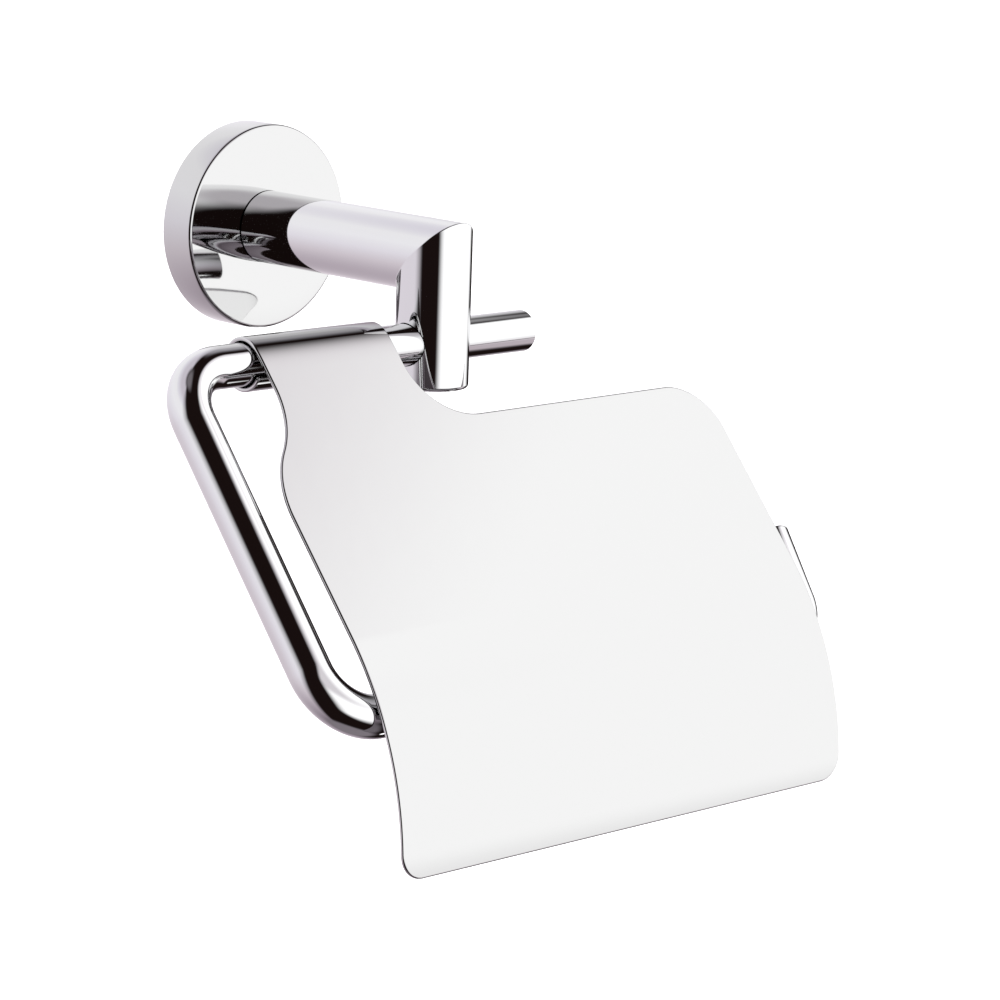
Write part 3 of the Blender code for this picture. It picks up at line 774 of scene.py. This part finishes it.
def outward(points):
    """At each point of a closed line, the step that moves both of its sides out by one."""
    steps = []
    for i, point in enumerate(points):
        back = (point - points[i - 1]).normalized()
        onward = (points[(i + 1) % len(points)] - point).normalized()
        middle = (back + onward).normalized()
        steps.append(Vector((-middle.y, middle.x)) / middle.dot(onward))
    anticlockwise = sum(a.cross(b) for a, b in zip(points, points[1:])) > 0
    return [-step for step in steps] if anticlockwise else steps


def divided(outline):
    """The blank as a flat mesh, cut along the rows and into columns, and its rim in order."""
    bm = bmesh.new()
    bm.faces.new([bm.verts.new((*p, 0)) for p in outline])
    bmesh.ops.triangulate(bm, faces=bm.faces)
    columns = int(COVER_WIDTH / COLUMN)
    cuts = [((0, s, 0), (0, 1, 0)) for s in cover_rows()]
    cuts += [((COVER_WIDTH * (i / columns - 0.5), 0, 0), (1, 0, 0)) for i in range(1, columns)]
    for place, across in cuts:
        parts = bm.verts[:] + bm.edges[:] + bm.faces[:]
        bmesh.ops.bisect_plane(bm, geom=parts, dist=2 * WELD, plane_co=place, plane_no=across)
    slants = []
    for edge in bm.edges:
        run = edge.verts[1].co - edge.verts[0].co
        if not edge.is_boundary and min(abs(run.x), abs(run.y)) > WELD:
            slants.append(edge)
    bmesh.ops.dissolve_edges(bm, edges=slants)
    rim_edges = {e for e in bm.edges if e.is_boundary}
    edge = min(rim_edges, key=lambda e: e.index)
    rim = [edge.verts[0]]
    corner = edge.verts[1]
    while corner != rim[0]:
        rim.append(corner)
        edge = next(e for e in corner.link_edges if e in rim_edges and e != edge)
        corner = edge.other_vert(corner)
    return bm, rim


def cover_mesh(finish):
    """Both faces of the sheet and a rim of two quarter rounds between them, with exact normals."""
    line = rounded(cover_blank(), CORNER_STEPS)
    flat, rim = divided([p - step * EDGE_ROUND for p, step in zip(line, outward(line))])
    places, normals, faces = [], [], []

    def put(x, s, height, side=Vector((0, 0)), up=1.0):
        """Adds a vertex. Its normal leans from the sheet's normal towards a side of the blank."""
        place, normal = on_sheet(x, s, height)
        downhill = normal.cross(Vector((1, 0, 0)))
        places.append(place)
        normals.append((normal * up + Vector((side.x, 0, 0)) - downhill * side.y).normalized())
        return len(places) - 1

    flat.verts.index_update()
    height = SHEET / 2
    top = [put(v.co.x, v.co.y, height) for v in flat.verts]
    under = [put(v.co.x, v.co.y, -height, up=-1.0) for v in flat.verts]
    for face in flat.faces:
        corners = [v.index for v in face.verts]
        faces.append([top[i] for i in corners])
        faces.append([under[i] for i in reversed(corners)])
    points = [v.co.xy for v in rim]
    sides = outward(points)
    rows = [[top[v.index] for v in rim]]
    quarter = [RIGHT_ANGLE * (1 - (i + 1) / RIM_STEPS) for i in range(RIM_STEPS)]
    for angle, half in [(a, 1) for a in quarter] + [(a, -1) for a in reversed(quarter)]:
        out, lean = math.cos(angle), half * math.sin(angle)
        rise = half * (height - EDGE_ROUND) + EDGE_ROUND * lean
        spots = [(p + side * EDGE_ROUND * out, side.normalized() * out) for p, side in zip(points, sides)]
        rows.append([put(*p, rise, side, lean) for p, side in spots])
    rows.append([under[v.index] for v in rim])
    for upper, lower in zip(rows, rows[1:]):
        for i in range(len(rim)):
            j = (i + 1) % len(rim)
            faces.append([upper[i], upper[j], lower[j], lower[i]])
    flat.free()
    mesh = bpy.data.meshes.new("rolled_cover")
    mesh.from_pydata(places, [], faces)
    mesh.materials.append(finish)
    mesh.shade_smooth()
    return mesh, normals


cover_data, cover_normals = cover_mesh(SHEET_CHROME)
cover = bpy.data.objects.new("rolled_cover", cover_data)
bpy.context.scene.collection.objects.link(cover)
cover_bm = bmesh.new()
cover_bm.from_mesh(cover_data)
bmesh.ops.recalc_face_normals(cover_bm, faces=cover_bm.faces)
cover_bm.to_mesh(cover_data)
cover_bm.free()
cover_data.normals_split_custom_set_from_vertices(cover_normals)
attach(cover, "cover")
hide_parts("cover")


# ---- Studio ----------------------------------------------------------------------------------
# The holder hangs at its usual height over a pale floor that runs on past any view, under one
# broad overhead light and a room of soft panels that only the polished metal sees.
camera_data = bpy.data.cameras.new("camera")
camera_data.lens = 151.2
camera_data.sensor_width = 36
camera = bpy.data.objects.new("camera", camera_data)
bpy.context.scene.collection.objects.link(camera)
VIEW_YAW = math.radians(44.83)
VIEW_PITCH = math.radians(-11.35)
VIEW_ROLL = math.radians(1.91)
CAMERA_PLACE = Vector((-0.6495, -0.7431, 0.1328))
tilt = Matrix.Rotation(RIGHT_ANGLE + VIEW_PITCH, 4, "X") @ Matrix.Rotation(VIEW_ROLL, 4, "Z")
camera.matrix_world = Matrix.Translation(CAMERA_PLACE) @ Matrix.Rotation(-VIEW_YAW, 4, "Z") @ tilt
bpy.context.scene.camera = camera

# Panels of the room as (middle, half, blur) across the compass, then up from the horizon,
# in degrees. The compass counts from +Y towards +X. The soft box is flat, so its edges are
# slopes seen from the holder: where it starts and is full, and where it fades and is gone.
# Where a panel has a last number, that is how far it covers what is behind it.
PAPER_SWEEP = (-18, 66, 11), (0, 76, 6)
SWEEP_FALLOFF = (-18, 76, 6), (0, 70, 6), 0.4
SWEEP_GLOW = (60, 19, 14), (46, 12, 6), 0.45
CEILING = (0, 180, 1), (90, 10, 5)
GROUND = (0, 180, 1), (-90, 24, 6)
TABLE = (122, 30, 8), (-28, 10.5, 3)
WHITE_CARD = (98, 6, 2), (-54, 5.5, 1.5)
SOFT_BOX_FACES = math.radians(150)
SOFT_BOX_ACROSS = (-3.6, -1.5, 0.8, 2.0)
SOFT_BOX_UP = (-0.7, -0.2, 1.25, 1.75)
SOFT_BOX_CORNER = (98, 26, 10), (56, 12.9, 3), 0.65
SOFT_BOX_SHADE = (190, 45, 20), (50, 20, 7), 0.6
# the paper's shade at each height in degrees above the horizon
SWEEP_SHADES = [
    (-80, "#2A2022"),
    (-60, "#8E838C"),
    (-42, "#B0A5AE"),
    (-22, "#CDC4CB"),
    (0, "#E1DDE4"),
    (22, "#ECEBEE"),
    (38, "#EBEAEC"),
    (48, "#DAD7DF"),
    (60, "#C6C0C9"),
]
ROOM_STRENGTH = 1.38
BOX_LIGHT = (1.12, 1.12, 1.12, 1)
CARD_LIGHT = (1.6, 1.6, 1.6, 1)
FLOOR_DROP = 0.75
FLOOR_SIDE = 60


def studio_world():
    """The room that polished metal mirrors: a lilac-white paper sweep behind and to the left, a
    large white soft box to the front right, and the dark room between them. The camera itself
    sees only plain white."""
    world = bpy.data.worlds.new("studio")
    world.use_nodes = True
    tree = world.node_tree
    tree.nodes.clear()
    way = add(tree, "ShaderNodeTexCoord").outputs["Generated"]

    across, ahead, height = (
        add(tree, "ShaderNodeVectorMath", {0: way, 1: axis}, operation="DOT_PRODUCT").outputs["Value"]
        for axis in ((1, 0, 0), (0, 1, 0), (0, 0, 1))
    )
    heading = add(tree, MATHS, {0: across, 1: ahead}, operation="ARCTAN2")
    rise = add(tree, MATHS, {0: height}, operation="ARCSINE")

    def within(angle, middle, half, blur):
        """One where the angle is within half of the middle, in degrees, and zero past the blur."""
        off = add(tree, MATHS, {0: angle, 1: math.radians(middle)}, operation="SUBTRACT")
        off = add(tree, MATHS, {0: off, 1: math.pi, 2: -math.pi}, operation="WRAP")
        off = add(tree, MATHS, {0: off}, operation="ABSOLUTE")
        span = {0: off, 1: math.radians(half + blur), 2: math.radians(half - blur), 3: 0, 4: 1}
        return add(tree, "ShaderNodeMapRange", span, interpolation_type="SMOOTHSTEP")

    def panel(behind, colour, across, up, opacity=1):
        """The view with a panel of this colour laid over what is behind it."""
        share = {0: within(heading, *across), 1: within(rise, *up)}
        share = add(tree, MATHS, share, operation="MULTIPLY")
        share = add(tree, MATHS, {0: share, 1: opacity}, operation="MULTIPLY")
        laid = {0: share, 6: behind, 7: colour}
        return add(tree, "ShaderNodeMix", laid, data_type="RGBA").outputs[2]

    level = {0: rise, 1: -RIGHT_ANGLE, 2: RIGHT_ANGLE, 3: 0, 4: 1}
    sweep = add(tree, "ShaderNodeValToRGB", {0: add(tree, "ShaderNodeMapRange", level)})
    ramp = sweep.color_ramp.elements
    ramp.remove(ramp[1])
    ramp[0].color = linear(SWEEP_SHADES[0][1])
    for degrees, tone in SWEEP_SHADES:
        ramp.new((degrees + 90) / 180).color = linear(tone)
    facing, sideways = math.sin(SOFT_BOX_FACES), math.cos(SOFT_BOX_FACES)
    towards = {0: way, 1: (facing, sideways, 0)}
    towards = add(tree, "ShaderNodeVectorMath", towards, operation="DOT_PRODUCT").outputs["Value"]
    beside = {0: way, 1: (sideways, -facing, 0)}
    beside = add(tree, "ShaderNodeVectorMath", beside, operation="DOT_PRODUCT").outputs["Value"]
    depth = add(tree, MATHS, {0: towards, 1: 0.001}, operation="MAXIMUM")
    box = add(tree, MATHS, {0: towards, 1: 0}, operation="GREATER_THAN")
    for reach, (start, full, fading, gone) in ((beside, SOFT_BOX_ACROSS), (height, SOFT_BOX_UP)):
        slope = add(tree, MATHS, {0: reach, 1: depth}, operation="DIVIDE")
        for none, all_of_it in ((start, full), (gone, fading)):
            edge = {0: slope, 1: none, 2: all_of_it, 3: 0, 4: 1}
            edge = add(tree, "ShaderNodeMapRange", edge, interpolation_type="SMOOTHSTEP")
            box = add(tree, MATHS, {0: box, 1: edge}, operation="MULTIPLY")

    view = panel(linear("#18100F"), sweep, *PAPER_SWEEP)
    view = panel(view, sweep, *SWEEP_FALLOFF)
    view = panel(view, sweep, *SWEEP_GLOW)
    view = panel(view, linear("#6F6A6E"), *CEILING)
    view = panel(view, linear("#7C757B"), *GROUND)
    view = panel(view, linear("#B8AEB4"), *TABLE)
    view = panel(view, CARD_LIGHT, *WHITE_CARD)
    light = panel(BOX_LIGHT, linear("#DCD4DA"), *SOFT_BOX_CORNER)
    light = panel(light, linear("#A79DA6"), *SOFT_BOX_SHADE)
    lit = {0: box, 6: view, 7: light}
    lit = add(tree, "ShaderNodeMix", lit, data_type="RGBA").outputs[2]
    mirrored = add(tree, "ShaderNodeBackground", {0: lit, 1: ROOM_STRENGTH})
    plain = add(tree, "ShaderNodeBackground", {0: linear("#FFFFFF"), 1: 1})
    ray = add(tree, "ShaderNodeLightPath").outputs["Is Camera Ray"]
    either = add(tree, "ShaderNodeMixShader", {0: ray, 1: mirrored, 2: plain})
    add(tree, "ShaderNodeOutputWorld", {0: either})
    return world


def pale_floor():
    """White seamless studio flooring: matt, with a very faint mottle."""
    material, tree, shader = new_finish("white_studio_floor")
    where = add(tree, "ShaderNodeTexCoord").outputs["Object"]
    mottle = add(tree, "ShaderNodeTexNoise", {"Vector": where, "Scale": 3, "Detail": 2})
    tone = {0: mottle, 6: linear("#F6F6F6"), 7: linear("#FAFAFA")}
    tone = add(tree, "ShaderNodeMix", tone, data_type="RGBA")
    tree.links.new(tone.outputs[2], shader.inputs["Base Color"])
    shader.inputs["Roughness"].default_value = 0.9
    return material


bpy.context.scene.world = studio_world()
bpy.context.scene.view_settings.view_transform = "Standard"

floor_mesh = bpy.data.meshes.new("floor")
floor_bm = bmesh.new()
bmesh.ops.create_grid(floor_bm, x_segments=1, y_segments=1, size=FLOOR_SIDE / 2)
floor_bm.to_mesh(floor_mesh)
floor_bm.free()
floor_mesh.transform(Matrix.Translation((0, 0, -FLOOR_DROP)))
floor_mesh.materials.append(pale_floor())
floor = bpy.data.objects.new("floor", floor_mesh)
floor.visible_glossy = False
bpy.context.scene.collection.objects.link(floor)
floor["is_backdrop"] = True

overhead_data = bpy.data.lights.new("overhead_light", "SUN")
overhead_data.energy = 3.5
overhead_data.angle = math.radians(40)
overhead = bpy.data.objects.new("overhead_light", overhead_data)
overhead.visible_glossy = False
bpy.context.scene.collection.objects.link(overhead)

low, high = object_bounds()
